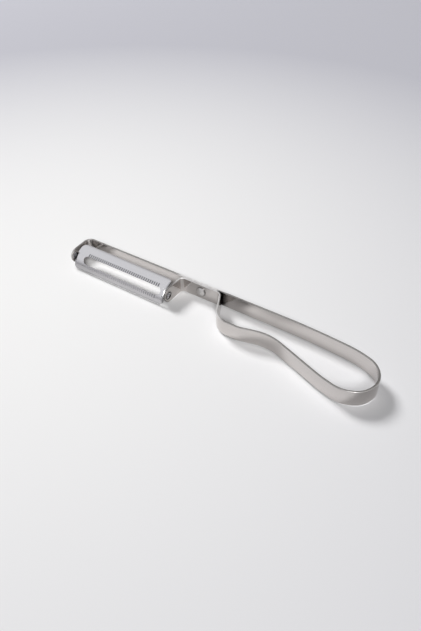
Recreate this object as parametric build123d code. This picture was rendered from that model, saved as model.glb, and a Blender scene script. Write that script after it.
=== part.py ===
from build123d import *
from math import asin, atan2, cos, degrees, radians, sin, sqrt, tan
import os

os.makedirs("parts", exist_ok=True)

# A swivel vegetable peeler: one bent steel band, a swinging blade and a rivet.
# X runs along the straight back run, from the blade's free end to the handle's loop,
# -Y points to the side where the blade and the loop lie, and Z goes across the strip.
# While it is built, X is zero at the grip ear, Y at the band's far face, Z at its lower edges.

# The steel strip that the whole band is bent from
strip_width = 8.5
strip_thickness = 1.0
strip_edge_round = 0.2
ear_bend_radius = 2.2
lap_bend_radius = 3.25
lap_clearance = 0.06

# The handle's loop, measured from the grip ear's middle plane
handle_length = 111.0
loop_depth = 27.0
lap_length = 23.9

# The two ears that carry the blade
head_span = 65.5
ear_depth = 16.3
pivot_from_tip = 3.1
nose_ear_lean = 4.3

# The blade, an arched sheet with a slot
blade_width = 13.7
blade_rise = 2.4
blade_thickness = 0.7
blade_corner_radius = 2.75
blade_rest_angle = 49.0
crown_above_pivot = 1.1
crown_from_pivot = 2.1
nose_end_gap = 2.3
grip_end_gap = 0.4

# The slot between the two cutting lips, and the fine teeth beside it
slot_width = 4.4
slot_nose_margin = 5.5
slot_grip_margin = 2.7
lip_edge = 0.12
lip_bevel = 0.8
tooth_pitch = 1.36
tooth_radius = 0.35
tooth_depth = 0.12
tooth_length = 1.9

# The blade's two tongues, which turn in the ears' holes
tongue_width = 3.5
tongue_bend_radius = 0.7
tongue_proud = 0.3
tongue_clearance = 0.06

# The rivet that holds the strip's two layers together
rivet_head_diameter = 5.4
rivet_head_height = 1.3
rivet_head_edge = 0.25
rivet_shank_diameter = 3.0
rivet_foot_diameter = 4.4
rivet_foot_height = 0.35
rivet_clearance = 0.05

# How far a cutter reaches past what it cuts
overrun = 0.5

# Places along the loop as shares of its length past the lap, across it as shares of its depth,
# and then how much of its shorter run each bend takes
back_run_end_share = 0.536
back_run_bend_share = 0.485
loop_corner_shares = [
    (0.824, 0.085, 0.485),
    (0.950, 0.204, 0.485),
    (1.006, 0.533, 0.485),
    (0.967, 0.878, 0.485),
    (0.865, 1.015, 0.45),
    (0.747, 0.922, 0.20),
    (0.405, 0.526, 0.485),
    (0.239, 0.667, 0.13),
    (0.094, 0.670, 0.485),
]
rivet_place_share = 0.52
tightest_bend_share = 0.45

# Sizes worked out from the ones above
half_strip = strip_thickness / 2
near_layer_depth = strip_thickness + lap_clearance + half_strip
near_face_depth = near_layer_depth + half_strip
ear_round_depth = ear_depth - strip_width / 2
pivot_depth = ear_depth - pivot_from_tip
nose_lean_at_pivot = tan(radians(nose_ear_lean)) * (pivot_depth - half_strip)
nose_ear_x = -head_span + nose_lean_at_pivot
pivot = Vector(0, -pivot_depth, strip_width / 2)
blade_start = nose_ear_x + half_strip / cos(radians(nose_ear_lean)) + nose_end_gap
blade_end = -half_strip - grip_end_gap
blade_length = blade_end - blade_start
arch_radius = ((blade_width / 2) ** 2 + blade_rise ** 2) / (2 * blade_rise)
arch_half_angle = degrees(asin(min(1, blade_width / 2 / arch_radius)))
arch_outer_radius = arch_radius + blade_thickness / 2
arch_inner_radius = arch_radius - blade_thickness / 2
arch_centre = Vector(0, arch_radius - crown_from_pivot, crown_above_pivot)
slot_tilt = degrees(atan2(arch_centre.Z, arch_centre.Y))


def bend_radius(before, corner, after, share):
    """The radius of a bend whose straight sides lose the given share of the shorter run."""
    arriving, leaving = corner - before, after - corner
    turn = arriving.get_angle(leaving)
    return share * min(arriving.length, leaving.length) / tan(radians(turn) / 2)


def band_route():
    """The strip's centre line, from the nose ear round the loop to the grip ear."""
    loop_length = handle_length - lap_length
    lean = tan(radians(nose_ear_lean)) * (ear_round_depth - half_strip)
    corners = [
        Vector(-head_span + lean, -ear_round_depth),
        Vector(-head_span, -half_strip),
        Vector(lap_length + back_run_end_share * loop_length, -half_strip),
    ]
    for along_share, depth_share, _ in loop_corner_shares:
        corners.append(Vector(lap_length + along_share * loop_length, -depth_share * loop_depth))
    corners.append(Vector(lap_length, -near_layer_depth))
    corners.append(Vector(0, -near_layer_depth))
    corners.append(Vector(0, -ear_round_depth))

    named_radii = {1: ear_bend_radius, len(corners) - 3: lap_bend_radius, len(corners) - 2: ear_bend_radius}
    bend_shares = [tightest_bend_share, back_run_bend_share]
    bend_shares += [bend_share for _, _, bend_share in loop_corner_shares]
    bend_shares += [tightest_bend_share, tightest_bend_share]
    radii = []
    for place, share in enumerate(bend_shares, start=1):
        widest = bend_radius(*corners[place - 1:place + 2], share)
        radii.append(min(widest, named_radii.get(place, widest)))
    return FilletPolyline(*corners, radius=radii)


def strip_section():
    """The strip's cross-section, with its rolled edges, centred on the strip's middle."""
    edge_round = min(strip_edge_round, strip_thickness / 3, strip_width / 3)
    return RectangleRounded(strip_thickness, strip_width, edge_round)


def ear_end(centre, turn):
    """The round end of an ear: the strip's half section turned about the ear's middle."""
    upper_half = strip_section() & Pos(0, strip_width / 2) * Rectangle(strip_width, strip_width)
    disc = revolve(upper_half, Axis.X)
    return Pos(centre) * Rot(0, 0, turn) * disc


def ear_hole():
    """The hole of one ear, a disc less the two stops that the blade's tongue turns against."""
    reach = tongue_reach() + tongue_clearance
    stop_half_angle = radians(90 - blade_rest_angle)
    stop_tip = (tongue_thickness() / 2 + tongue_clearance) / sin(stop_half_angle)
    side_along, side_across = 2 * reach * cos(stop_half_angle), 2 * reach * sin(stop_half_angle)
    outline = Circle(reach)
    for side in (-1, 1):
        stop = Polyline(
            (side * stop_tip, 0),
            (side * (stop_tip + side_along), side_across),
            (side * (stop_tip + side_along), -side_across),
            close=True,
        )
        outline -= make_face(stop)
    return outline


def tongue_thickness():
    """The tongues are folded from the blade's own sheet."""
    return blade_thickness


def tongue_reach():
    """How far a tongue's corners stand from the pivot line."""
    return sqrt(tongue_width ** 2 + tongue_thickness() ** 2) / 2


def make_band():
    """The handle and both ears in one bent strip, with the rivet's hole and the ears' holes."""
    route = band_route()
    middle = Vector(0, 0, strip_width / 2)
    start = Plane(origin=route @ 0, z_dir=route % 0, x_dir=(route % 0).cross(Vector(0, 0, 1)))
    band = sweep(start * strip_section(), path=route)
    band = Pos(middle) * band
    band += ear_end(route @ 0 + middle, nose_ear_lean)
    band += ear_end(route @ 1 + middle, 0)
    for ear_x in (nose_ear_x, 0):
        hole = Plane.YZ * ear_hole()
        cutter = extrude(hole, amount=strip_thickness + overrun, both=True)
        band -= Pos(ear_x, pivot.Y, pivot.Z) * cutter
    hole_radius = rivet_shank_diameter / 2 + rivet_clearance
    rivet_hole = Cylinder(hole_radius, 2 * (near_face_depth + overrun), rotation=(90, 0, 0))
    band -= Pos(rivet_place_share * lap_length, 0, strip_width / 2) * rivet_hole
    return band


def make_rivet():
    """A domed rivet with a low foot on the band's far face, turned about its own axis."""
    head_radius = rivet_head_diameter / 2
    foot_radius = rivet_foot_diameter / 2
    shank_radius = rivet_shank_diameter / 2
    near, far = near_face_depth, 0
    head_edge = min(rivet_head_edge, rivet_head_height / 2)
    dome = TangentArc((0, near + rivet_head_height), (head_radius, near + head_edge), tangent=(1, 0))
    sides = Polyline(
        (head_radius, near + head_edge),
        (head_radius, near),
        (shank_radius, near),
        (shank_radius, far),
        (foot_radius, far),
        (foot_radius - rivet_foot_height, far - rivet_foot_height),
        (0, far - rivet_foot_height),
        (0, near + rivet_head_height),
    )
    turned = revolve(Plane.XY * make_face(dome + sides), Axis.Y)
    place = Pos(rivet_place_share * lap_length, 0, strip_width / 2)
    return place * Rot(180, 0, 0) * turned


def arched_sheet():
    """The blade's sheet at its neutral angle, with the pivot line at Y and Z zero."""
    first, sweep_angle = 180 - arch_half_angle, 2 * arch_half_angle
    outer = CenterArc((0, 0), arch_outer_radius, first, sweep_angle)
    inner = CenterArc((0, 0), arch_inner_radius, first, sweep_angle)
    ends = Line(outer @ 0, inner @ 0) + Line(outer @ 1, inner @ 1)
    section = Plane.YZ * make_face(outer + inner + ends)
    sheet = Pos(blade_start, arch_centre.Y, arch_centre.Z) * extrude(section, amount=blade_length)
    chord = 2 * arch_outer_radius * sin(radians(arch_half_angle))
    corner = min(blade_corner_radius, blade_length / 3, chord / 3)
    outline = Plane.XZ * RectangleRounded(blade_length, chord, corner)
    trim = extrude(outline, amount=2 * arch_outer_radius, both=True)
    return sheet & Pos(blade_start + blade_length / 2, 0, arch_centre.Z) * trim


def on_arch(tilt, x, radius):
    """A plane that lies on the arch, tilted about its axis from straight over the pivot."""
    turned = Plane.XZ.rotated((slot_tilt + tilt, 0, 0))
    return Plane(
        origin=Vector(x, arch_centre.Y, arch_centre.Z) + turned.z_dir * radius,
        x_dir=turned.x_dir,
        z_dir=turned.z_dir,
    )


def slot_cutters():
    """The slot through the sheet, and the flare that grinds its lips thin from inside."""
    slot_length = blade_length - slot_nose_margin - slot_grip_margin
    middle = blade_start + slot_nose_margin + slot_length / 2
    slot = on_arch(0, middle, arch_radius) * SlotOverall(slot_length, slot_width)
    through = extrude(slot, amount=arch_radius / 2, both=True)
    rim_height = sqrt(arch_outer_radius ** 2 - (slot_width / 2) ** 2)
    foot_height = sqrt(arch_inner_radius ** 2 - (slot_width / 2 + lip_bevel) ** 2)
    narrow = on_arch(0, middle, rim_height - lip_edge) * SlotOverall(slot_length, slot_width)
    flared = SlotOverall(slot_length + 2 * lip_bevel, slot_width + 2 * lip_bevel)
    wide = on_arch(0, middle, foot_height) * flared
    below = extrude(wide, amount=-overrun)
    return [through, loft([narrow.face(), wide.face()]), below]


def tooth_cutters():
    """Round-bottomed grooves across both lips, evenly spaced over the slot's straight part."""
    row_length = blade_length - slot_nose_margin - slot_grip_margin - slot_width
    row_start = blade_start + slot_nose_margin + slot_width / 2
    count = int(row_length / tooth_pitch) + 1
    first = row_start + (row_length - (count - 1) * tooth_pitch) / 2
    tilt = degrees(asin((slot_width + tooth_length) / 2 / arch_outer_radius))
    height = arch_outer_radius + tooth_radius - tooth_depth
    groove = Cylinder(tooth_radius, tooth_length, rotation=(90, 0, 0))
    return [
        on_arch(side * tilt, first + place * tooth_pitch, height) * groove
        for side in (-1, 1)
        for place in range(count)
    ]


def tongue(web_face, inward, tip):
    """A tab folded in from the sheet's end to the pivot line, then out through an ear."""
    web_x = web_face + inward * blade_thickness / 2
    top = -(crown_from_pivot + blade_thickness)
    bend = min(tongue_bend_radius, tightest_bend_share * min(abs(tip - web_x), crown_from_pivot))
    fold = FilletPolyline((web_x, top), (web_x, 0), (tip, 0), radius=[bend])
    section = Plane(origin=fold @ 0, z_dir=fold % 0, x_dir=(1, 0, 0)) * Rectangle(blade_thickness, tongue_width)
    under_arch = Cylinder(arch_outer_radius, 2 * (abs(tip - web_x) + blade_thickness), rotation=(0, 90, 0))
    return sweep(section, path=fold) & Pos(web_x, arch_centre.Y, arch_centre.Z) * under_arch


def make_blade():
    """The whole blade, pivot line at Y and Z zero and lips at the neutral angle."""
    ear_face = half_strip / cos(radians(nose_ear_lean))
    blade = arched_sheet()
    blade += tongue(blade_start, 1, nose_ear_x - ear_face - tongue_proud)
    blade += tongue(blade_end, -1, half_strip + tongue_proud)
    return blade - slot_cutters() - tooth_cutters()


parts = {
    "handle_band": make_band(),
    "rivet": make_rivet(),
    "blade": Pos(pivot) * Rot(-blade_rest_angle, 0, 0) * make_blade(),
}

# The finished peeler stands on the floor with the middle of its length and width over the origin
middle = Compound(list(parts.values())).bounding_box().center()
for name, shape in parts.items():
    export_step(Pos(-middle.X, -middle.Y, 0) * shape, f"parts/{name}.step")
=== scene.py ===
import logging
from bisect import bisect_right
from dataclasses import dataclass, field
from enum import Enum
from math import asin, atan2, ceil, cos, pi, radians, sin, sqrt, tan

import bpy
import numpy as np
from mathutils import Matrix, Vector
from mathutils.geometry import delaunay_2d_cdt


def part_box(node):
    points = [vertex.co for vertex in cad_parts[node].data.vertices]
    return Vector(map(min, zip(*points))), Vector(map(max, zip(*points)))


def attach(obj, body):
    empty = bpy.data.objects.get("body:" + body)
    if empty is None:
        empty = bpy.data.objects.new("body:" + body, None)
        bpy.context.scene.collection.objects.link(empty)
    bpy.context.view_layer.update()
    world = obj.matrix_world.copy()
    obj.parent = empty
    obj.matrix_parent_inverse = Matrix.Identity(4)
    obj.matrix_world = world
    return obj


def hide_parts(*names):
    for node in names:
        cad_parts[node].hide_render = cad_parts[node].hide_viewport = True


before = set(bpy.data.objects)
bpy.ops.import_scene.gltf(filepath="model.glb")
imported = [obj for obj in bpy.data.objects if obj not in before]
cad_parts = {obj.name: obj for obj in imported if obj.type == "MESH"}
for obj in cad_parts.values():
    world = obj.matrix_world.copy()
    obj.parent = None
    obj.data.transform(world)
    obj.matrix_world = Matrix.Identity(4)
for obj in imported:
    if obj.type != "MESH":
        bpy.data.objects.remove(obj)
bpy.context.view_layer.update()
LOG = logging.getLogger("peeler")
MM = 0.001
NUDGE = 0.004
EDGE_SHARE = 0.45
CORNER_SHARE = 0.499
CUT_GAP = 0.03
Tree = bpy.types.NodeTree
Socket = bpy.types.NodeSocket
Triple = tuple[float, float, float]


class Side(Enum):
    """The two broad faces of a sheet: the outer one and the inner one."""

    OUTER = 1
    INNER = -1


@dataclass(frozen=True)
class EdgeRing:
    """One line along a sheet's edge, set in from the rim and raised from the sheet's middle."""

    inset: float
    height: float
    out: float
    up: float
    rim: float


@dataclass(frozen=True)
class RimPoint:
    """A point on a blank's outline, with the direction that looks out of the metal."""

    place: Vector
    out: Vector


def smooth(value: float) -> float:
    """Eases a share from zero to one."""
    share = min(1.0, max(0.0, value))
    return share * share * (3 - 2 * share)


def edge_rings(
    section: list[tuple[float, float]], rounding: float, steps: int = 3
) -> list[EdgeRing]:
    """Rounds the corners of a sheet's edge section and lists the rings that the edge is built from.

    Args:
        section: corners as inset and height, from the outer face to the inner one.
        rounding: the radius of each corner.
        steps: how many pieces each rounded corner has.

    Returns:
        The rings, of which the first lies in the outer face and the last in the inner one.
    """
    rings: list[EdgeRing] = []
    for before, corner, after in zip(section, section[1:], section[2:]):
        arrive = Vector((before[0] - corner[0], corner[1] - before[1]))
        leave = Vector((corner[0] - after[0], after[1] - corner[1]))
        turn = arrive.angle(leave)
        widest = EDGE_SHARE * min(arrive.length, leave.length) / tan(turn / 2)
        radius = min(rounding, widest)
        reach = radius * tan(turn / 2)
        arrive.normalize()
        first_look = Vector((-arrive.y, arrive.x))
        start = Vector((-corner[0], corner[1])) - arrive * reach
        centre = start - first_look * radius
        for step in range(steps + 1):
            look = Matrix.Rotation(-turn * step / steps, 2) @ first_look
            spot = centre + look * radius
            rings.append(EdgeRing(-spot.x, spot.y, look.x, look.y, 1.0))
    first, last = rings[0], rings[-1]
    rings[0] = EdgeRing(first.inset, first.height, first.out, first.up, 0.0)
    rings[-1] = EdgeRing(last.inset, last.height, last.out, last.up, 0.0)
    return rings


def plain_edge(thickness: float, rounding: float, steps: int = 3) -> list[EdgeRing]:
    """Makes the rings of a square edge with rounded corners.

    Args:
        thickness: the sheet's thickness.
        rounding: the radius of both corners.
        steps: how many pieces each rounded corner has.

    Returns:
        The rings, from the outer face to the inner one.
    """
    half = thickness / 2
    far = thickness * 4
    return edge_rings([(far, half), (0, half), (0, -half), (far, -half)], rounding, steps)


def rounded_outline(
    corners: list[Triple],
    cuts: tuple[list[float], list[float]] = ((), ()),
    arc_step: float = radians(12),
) -> list[RimPoint]:
    """Rounds an outline's corners, and adds points where its straight sides pass given places.

    Args:
        corners: along, across and corner radius, with the metal on the left of the way round.
        cuts: places along and across the blank at which a straight side gets a point.
        arc_step: the largest turn between two points of a rounded corner.

    Returns:
        The outline's points, in order.
    """
    points: list[RimPoint] = []
    spots = [Vector(corner[:2]) for corner in corners]
    bends = []
    for index, corner in enumerate(spots):
        arrive = corner - spots[index - 1]
        leave = spots[(index + 1) % len(spots)] - corner
        turn = arrive.angle_signed(leave)
        widest = CORNER_SHARE * min(arrive.length, leave.length)
        reach = min(corners[index][2] * abs(tan(turn / 2)), widest)
        bends.append((arrive.normalized(), leave.normalized(), -turn, reach))
    for index, corner in enumerate(spots):
        arrive, leave, turn, reach = bends[index]
        first_look = Vector((arrive.y, -arrive.x))
        radius = reach / tan(abs(turn) / 2)
        side = 1 if turn > 0 else -1
        centre = corner - arrive * reach - first_look * radius * side
        pieces = max(1, ceil(abs(turn) / arc_step))
        for piece in range(pieces + 1):
            look = Matrix.Rotation(turn * piece / pieces, 2) @ first_look
            points.append(RimPoint(centre + look * radius * side, look))
        start = corner + leave * reach
        following = spots[(index + 1) % len(spots)]
        end = following - bends[(index + 1) % len(spots)][0] * bends[(index + 1) % len(spots)][3]
        run = end - start
        shares = []
        for axis in (0, 1):
            if abs(run[axis]) > 1e-6:
                shares += [(cut - start[axis]) / run[axis] for cut in cuts[axis]]
        look = Vector((leave.y, -leave.x))
        margin = CUT_GAP / max(run.length, 2 * CUT_GAP)
        kept = -1.0
        for share in sorted(shares):
            if margin < share < 1 - margin and share - kept > margin / 2:
                points.append(RimPoint(start + run * share, look))
                kept = share
    return points


class Route:
    """A flat line through corners whose bends are arcs, read by the length along it."""

    def __init__(self, corners: list[tuple[float, float]], radii: list[float]) -> None:
        """Lays the line out.

        Args:
            corners: the corners, ends included.
            radii: the bend radius at each corner between the ends.
        """
        spots = [Vector(corner) for corner in corners]
        self.spans: list[tuple[Vector, Vector, float, float]] = []
        self.starts: list[float] = []
        place, total = spots[0], 0.0
        for index in range(1, len(spots)):
            heading = (spots[index] - spots[index - 1]).normalized()
            if index == len(spots) - 1:
                end, turn, radius = spots[index], 0.0, 0.0
            else:
                leaving = (spots[index + 1] - spots[index]).normalized()
                turn = -heading.angle_signed(leaving)
                radius = radii[index - 1]
                end = spots[index] - heading * radius * abs(tan(turn / 2))
            straight = (end - place).length
            total = self._add(place, heading, straight, 0.0, total)
            if turn:
                curve = (1 if turn > 0 else -1) / radius
                total = self._add(end, heading, abs(turn) * radius, curve, total)
                place = spots[index] + leaving * radius * abs(tan(turn / 2))
        self.length = total

    def _add(
        self, start: Vector, heading: Vector, length: float, curve: float, total: float
    ) -> float:
        """Adds a span to the line.

        Args:
            start: where the span starts.
            heading: the unit vector along the line there.
            length: the span's length.
            curve: one over the bend radius, or zero on a straight span.
            total: the line's length up to the span.

        Returns:
            The line's length with the span.
        """
        self.spans.append((start, heading, length, curve))
        self.starts.append(total)
        return total + length

    def at(self, length: float) -> tuple[Vector, Vector]:
        """The point and the heading at a length along the line.

        Args:
            length: how far along, and past either end the line runs on straight.

        Returns:
            The point, and the unit vector along the line.
        """
        index = max(0, bisect_right(self.starts, length) - 1)
        start, heading, span, curve = self.spans[index]
        gone = length - self.starts[index]
        if index == len(self.spans) - 1 or not curve:
            return start + heading * gone, heading
        turned = Matrix.Rotation(gone * curve, 2) @ heading
        left, left_now = Vector((-heading.y, heading.x)), Vector((-turned.y, turned.x))
        return start + (left - left_now) / curve, turned

    def stations(self, turn_step: float, longest: float) -> list[float]:
        """Lengths at which a mesh follows the line well.

        Args:
            turn_step: the largest turn between two stations.
            longest: the largest distance between two stations on a straight run.

        Returns:
            The lengths, from the line's start to its end.
        """
        found: list[float] = []
        for start, (_, _, span, curve) in zip(self.starts, self.spans):
            pieces = max(1, ceil(span * abs(curve) / turn_step), ceil(span / longest))
            found += [start + span * piece / pieces for piece in range(pieces)]
        return [*found, self.length]

    def nearest(self, spot: tuple[float, float], reach: float = 1.0) -> list[float]:
        """Finds where straight spans pass close by a point.

        Args:
            spot: the point.
            reach: how far from the point a span still counts.

        Returns:
            The lengths along the line.
        """
        found = []
        for start, (place, heading, span, curve) in zip(self.starts, self.spans):
            gone = (Vector(spot) - place).dot(heading)
            away = (place + heading * gone - Vector(spot)).length
            if not curve and 0 <= gone <= span and away < reach:
                found.append(start + gone)
        return found


def finished_piece(
    name: str,
    places: list[Vector],
    faces: list[tuple[int, ...]],
    looks: list[Vector],
    flats: list[Vector],
    masks: dict[str, list[float]],
) -> bpy.types.Object:
    """Makes a piece's object from its points and faces.

    Args:
        name: the piece's name.
        places: where the points lie, in metres.
        faces: the faces by point number.
        looks: the normal at each point.
        flats: where each point lies on the flat metal, in millimetres, for the grain.
        masks: a value for each point, by the mask's name.

    Returns:
        The object, in the scene.
    """
    mesh = bpy.data.meshes.new(name)
    mesh.from_pydata(places, [], faces)
    mesh.update()
    mesh.polygons.foreach_set("use_smooth", [True] * len(mesh.polygons))
    mesh.normals_split_custom_set_from_vertices(looks)
    for label, values in masks.items():
        mesh.attributes.new(label, "FLOAT", "POINT").data.foreach_set("value", values)
    grain = mesh.uv_layers.new(name="grain")
    corners = [flats[corner.vertex_index] for corner in mesh.loops]
    grain.data.foreach_set("uv", [value * MM for flat in corners for value in flat])
    piece = bpy.data.objects.new(name, mesh)
    bpy.context.scene.collection.objects.link(piece)
    return piece


class Blank:
    """A flat piece of sheet metal that is cut out, given its edges, and bent into its form."""

    thickness: float

    def bent(self, along: float, across: float, height: float) -> Vector:
        """Where a point of the blank comes to lie, in millimetres.

        Args:
            along: the distance along the blank.
            across: the distance across it.
            height: the distance out from the middle of the sheet.

        Returns:
            The point in the row frame.
        """
        raise NotImplementedError

    def sunk(self, along: float, across: float) -> float:
        """How deep the outer face is ground away at a point."""
        return 0.0

    def _vertex(self, flat: Vector, ring: EdgeRing, out: Vector) -> tuple[Vector, Vector]:
        """Works out one vertex.

        Args:
            flat: where it lies on the blank.
            ring: its ring of the edge.
            out: the direction on the blank that looks out of the metal.

        Returns:
            The place and the normal.
        """
        half = self.thickness / 2

        def put(along: float, across: float) -> Vector:
            """Bends a point of the ring."""
            share = max(0.0, 1 - (half - ring.height) / self.lip_share())
            return self.bent(along, across, ring.height - share * self.sunk(along, across))

        along_way = (put(flat.x + NUDGE, flat.y) - put(flat.x - NUDGE, flat.y)).normalized()
        across_way = (put(flat.x, flat.y + NUDGE) - put(flat.x, flat.y - NUDGE)).normalized()
        face_way = along_way.cross(across_way).normalized()
        look = (along_way * out.x + across_way * out.y) * ring.out + face_way * ring.up
        return put(flat.x, flat.y), look.normalized()

    def lip_share(self) -> float:
        """How far down the edge the ground grooves reach."""
        return self.thickness

    def rim_highlight(self, along: float, across: float) -> float:
        """How strongly a painted highlight lightens the rim at a point, from zero to one."""
        return 0.0

    def shade(self, along: float, across: float, height: float) -> float:
        """How much painted shade darkens a point, from zero to one."""
        return 0.0

    def build(
        self,
        name: str,
        loops: list[tuple[list[RimPoint], list[EdgeRing]]],
        inner_points: list[Vector],
        lines: list[tuple[Vector, Vector]],
    ) -> bpy.types.Object:
        """Cuts the blank out, closes its edges and bends it.

        Args:
            name: the piece's name.
            loops: the outline and then the holes, each with the rings of its edge.
            inner_points: further points of the two faces.
            lines: pairs of inner or outline points that the faces' triangles keep as edges.

        Returns:
            The finished object.
        """
        places: list[Vector] = []
        looks: list[Vector] = []
        rims: list[float] = []
        rim_highlights: list[float] = []
        shades: list[float] = []
        flats: list[Vector] = []
        faces: list[tuple[int, ...]] = []

        def vertex(flat: Vector, ring: EdgeRing, out: Vector) -> int:
            """Adds a vertex.

            Args:
                flat: where it lies on the blank.
                ring: its ring of the edge.
                out: the direction on the blank that looks out of the metal.

            Returns:
                The vertex's number.
            """
            place, look = self._vertex(flat, ring, out)
            places.append(place * MM)
            looks.append(look)
            rims.append(ring.rim)
            rim_highlights.append(self.rim_highlight(flat.x, flat.y))
            shades.append(self.shade(flat.x, flat.y, ring.height))
            flats.append(flat)
            return len(places) - 1

        half = self.thickness / 2
        borders: dict[Side, list[list[int]]] = {Side.OUTER: [], Side.INNER: []}
        for points, rings in loops:
            rows = [
                [vertex(point.place - point.out * ring.inset, ring, point.out) for point in points]
                for ring in rings
            ]
            for upper, lower in zip(rows, rows[1:]):
                for index in range(len(points)):
                    following = (index + 1) % len(points)
                    faces.append((upper[index], lower[index], lower[following], upper[following]))
            borders[Side.OUTER].append(rows[0])
            borders[Side.INNER].append(rows[-1])
        for side, rows in borders.items():
            ring = EdgeRing(0, side.value * half, 0, side.value, 0)
            outlines = [np.array([flats[number][:] for number in row]) for row in rows]
            clear = self._clear_of(inner_points, outlines)
            inside = [vertex(point, ring, Vector((0, 0))) for point in clear]
            numbers = [number for row in rows for number in row] + inside
            spots = [flats[number] for number in numbers]
            edges, start = [], 0
            owner: dict[int, int] = {}
            for loop, row in enumerate(rows):
                edges += [(start + i, start + (i + 1) % len(row)) for i in range(len(row))]
                owner.update({start + i: loop for i in range(len(row))})
                start += len(row)
            edges += self._kept_edges(spots, lines)
            filled = delaunay_2d_cdt(spots, edges, [], 0, 1e-5, True)
            mesh_spots, _, triangles, origins, _, _ = filled
            real = [
                numbers[origin[0]] if origin else vertex(spot, ring, Vector((0, 0)))
                for spot, origin in zip(mesh_spots, origins)
            ]
            for triangle in triangles:
                holders = {
                    owner.get(origins[corner][0]) if origins[corner] else None
                    for corner in triangle
                }
                if len(holders) == 1 and None not in holders:
                    middle = sum((mesh_spots[corner] for corner in triangle), Vector((0, 0))) / 3
                    if not self._in_metal(middle, outlines):
                        continue
                corners = tuple(real[corner] for corner in triangle)
                faces.append(corners if side is Side.OUTER else corners[::-1])
        # the groove mask carries painted shade and the rim-highlight mask painted highlights
        masks = {"rim": rims, "rim_highlight": rim_highlights, "groove": shades}
        return finished_piece(name, places, faces, looks, flats, masks)

    @staticmethod
    def _kept_edges(
        spots: list[Vector], lines: list[tuple[Vector, Vector]]
    ) -> list[tuple[int, int]]:
        """Finds the spots that each kept line joins.

        Args:
            spots: every point of the face.
            lines: pairs of places, each close to a point of the face.

        Returns:
            The pairs of point numbers.
        """
        table = np.array([spot[:] for spot in spots])
        kept = []
        for line in lines:
            ends = [int(np.argmin(((table - np.array(end[:])) ** 2).sum(1))) for end in line]
            if ends[0] != ends[1]:
                kept.append((ends[0], ends[1]))
        return kept

    @staticmethod
    def _in_metal(spot: Vector, outlines: list[np.ndarray]) -> bool:
        """Tells whether a point lies inside the outline and outside the holes.

        Args:
            spot: the point.
            outlines: the outline and the holes.

        Returns:
            Whether it lies in the metal.
        """
        crossings = 0
        for outline in outlines:
            following = np.roll(outline, -1, axis=0)
            passing = (outline[:, 1] > spot.y) != (following[:, 1] > spot.y)
            rise = np.where(passing, following[:, 1] - outline[:, 1], 1)
            share = (spot.y - outline[:, 1]) / rise
            where = outline[:, 0] + share * (following[:, 0] - outline[:, 0])
            crossings += int(np.count_nonzero(passing & (where > spot.x)))
        return crossings % 2 == 1

    @staticmethod
    def _clear_of(
        spots: list[Vector], outlines: list[np.ndarray], clearance: float = 0.1
    ) -> list[Vector]:
        """Keeps the points that lie in the metal and clear of every outline.

        Args:
            spots: the points to try.
            outlines: the outline and the holes.
            clearance: the least distance to an outline.

        Returns:
            The points that are kept.
        """
        kept = []
        for spot in spots:
            if Blank._in_metal(spot, outlines):
                here = np.array(spot[:])
                nearest = min(float(Blank._distances(here, outline).min()) for outline in outlines)
                if nearest > clearance:
                    kept.append(spot)
        return kept

    @staticmethod
    def _distances(spot: np.ndarray, start: np.ndarray) -> np.ndarray:
        """Measures how far a point is from each side of an outline.

        Args:
            spot: the point.
            start: the outline's points.

        Returns:
            A distance for each side.
        """
        way = np.roll(start, -1, axis=0) - start
        length = np.maximum((way ** 2).sum(1), 1e-12)
        share = np.clip(((spot - start) * way).sum(1) / length, 0, 1)
        return np.sqrt(((start + way * share[:, None] - spot) ** 2).sum(1))


def group_node(tree: Tree, group: Tree, **values: float) -> bpy.types.Node:
    """Places a node group and sets its plain inputs.

    Args:
        tree: the node tree that gets the group.
        group: the group.
        values: inputs by name, with underscores for spaces.

    Returns:
        The group's node.
    """
    node = tree.nodes.new("ShaderNodeGroup")
    node.node_tree = group
    for name, value in values.items():
        node.inputs[name.replace("_", " ").capitalize()].default_value = value
    return node


def math_node(group: Tree, kind: str, first: object, second: object) -> Socket:
    """A math node on two sockets or numbers.

    Args:
        group: the tree that gets the node.
        kind: the operation.
        first: a socket or a number.
        second: a socket or a number.

    Returns:
        The result's socket.
    """
    node = group.nodes.new("ShaderNodeMath")
    node.operation = kind
    for place, value in enumerate((first, second)):
        if isinstance(value, Socket):
            group.links.new(value, node.inputs[place])
        else:
            node.inputs[place].default_value = value
    return node.outputs[0]


def range_node(tree: Tree, share: Socket, low: float, high: object) -> Socket:
    """Goes from a number to another number, or to a socket's value, by a mask.

    Args:
        tree: the material's node tree.
        share: the mask's socket.
        low: the value where the mask is zero.
        high: the value, or its socket, where the mask is one.

    Returns:
        The value's socket.
    """
    ranger = tree.nodes.new("ShaderNodeMapRange")
    ranger.inputs["To Min"].default_value = low
    tree.links.new(share, ranger.inputs["Value"])
    if isinstance(high, Socket):
        tree.links.new(high, ranger.inputs["To Max"])
    else:
        ranger.inputs["To Max"].default_value = high
    return ranger.outputs[0]


def mix_node(tree: Tree, share: Socket, first: object, second: object) -> Socket:
    """Mixes two colours by a mask.

    Args:
        tree: the material's node tree.
        share: the mask's socket.
        first: the colour, or its socket, where the mask is zero.
        second: the colour, or its socket, where the mask is one.

    Returns:
        The mixed colour's socket.
    """
    mixer = tree.nodes.new("ShaderNodeMix")
    mixer.data_type = "RGBA"
    tree.links.new(share, mixer.inputs[0])
    for place, value in ((6, first), (7, second)):
        if isinstance(value, Socket):
            tree.links.new(value, mixer.inputs[place])
        else:
            mixer.inputs[place].default_value = (*value, 1)
    return mixer.outputs[2]


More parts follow.
